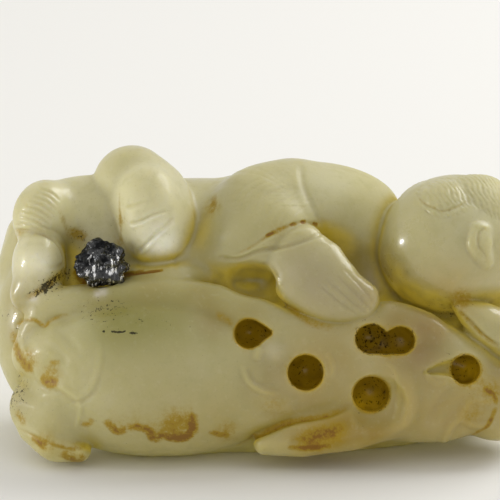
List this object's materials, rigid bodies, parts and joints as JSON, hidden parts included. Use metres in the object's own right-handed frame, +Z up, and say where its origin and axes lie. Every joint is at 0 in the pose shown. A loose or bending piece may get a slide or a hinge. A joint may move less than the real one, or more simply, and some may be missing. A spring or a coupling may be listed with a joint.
{
  "type": "jade figure carving",
  "caption": "Small pierced jade carving of a boy lying over a gourd with vine and leaves, with a lump of dark metal wedged in it.",
  "frame": {"origin": "middle of the carving's box, on the ground face it rests on", "axes": "+X along the length towards the head, +Y away from the front with the pierced vine, +Z up"},
  "size_m": [0.0627, 0.0302, 0.0323],
  "materials": {
    "jade": "polished, translucent, with brown stains",
    "dark_metal": "crumpled, dark with bright edges"
  },
  "bodies": {
    "root": {"jade_carving": "jade", "metal_lump": "dark_metal"}
  },
  "joints": []
}
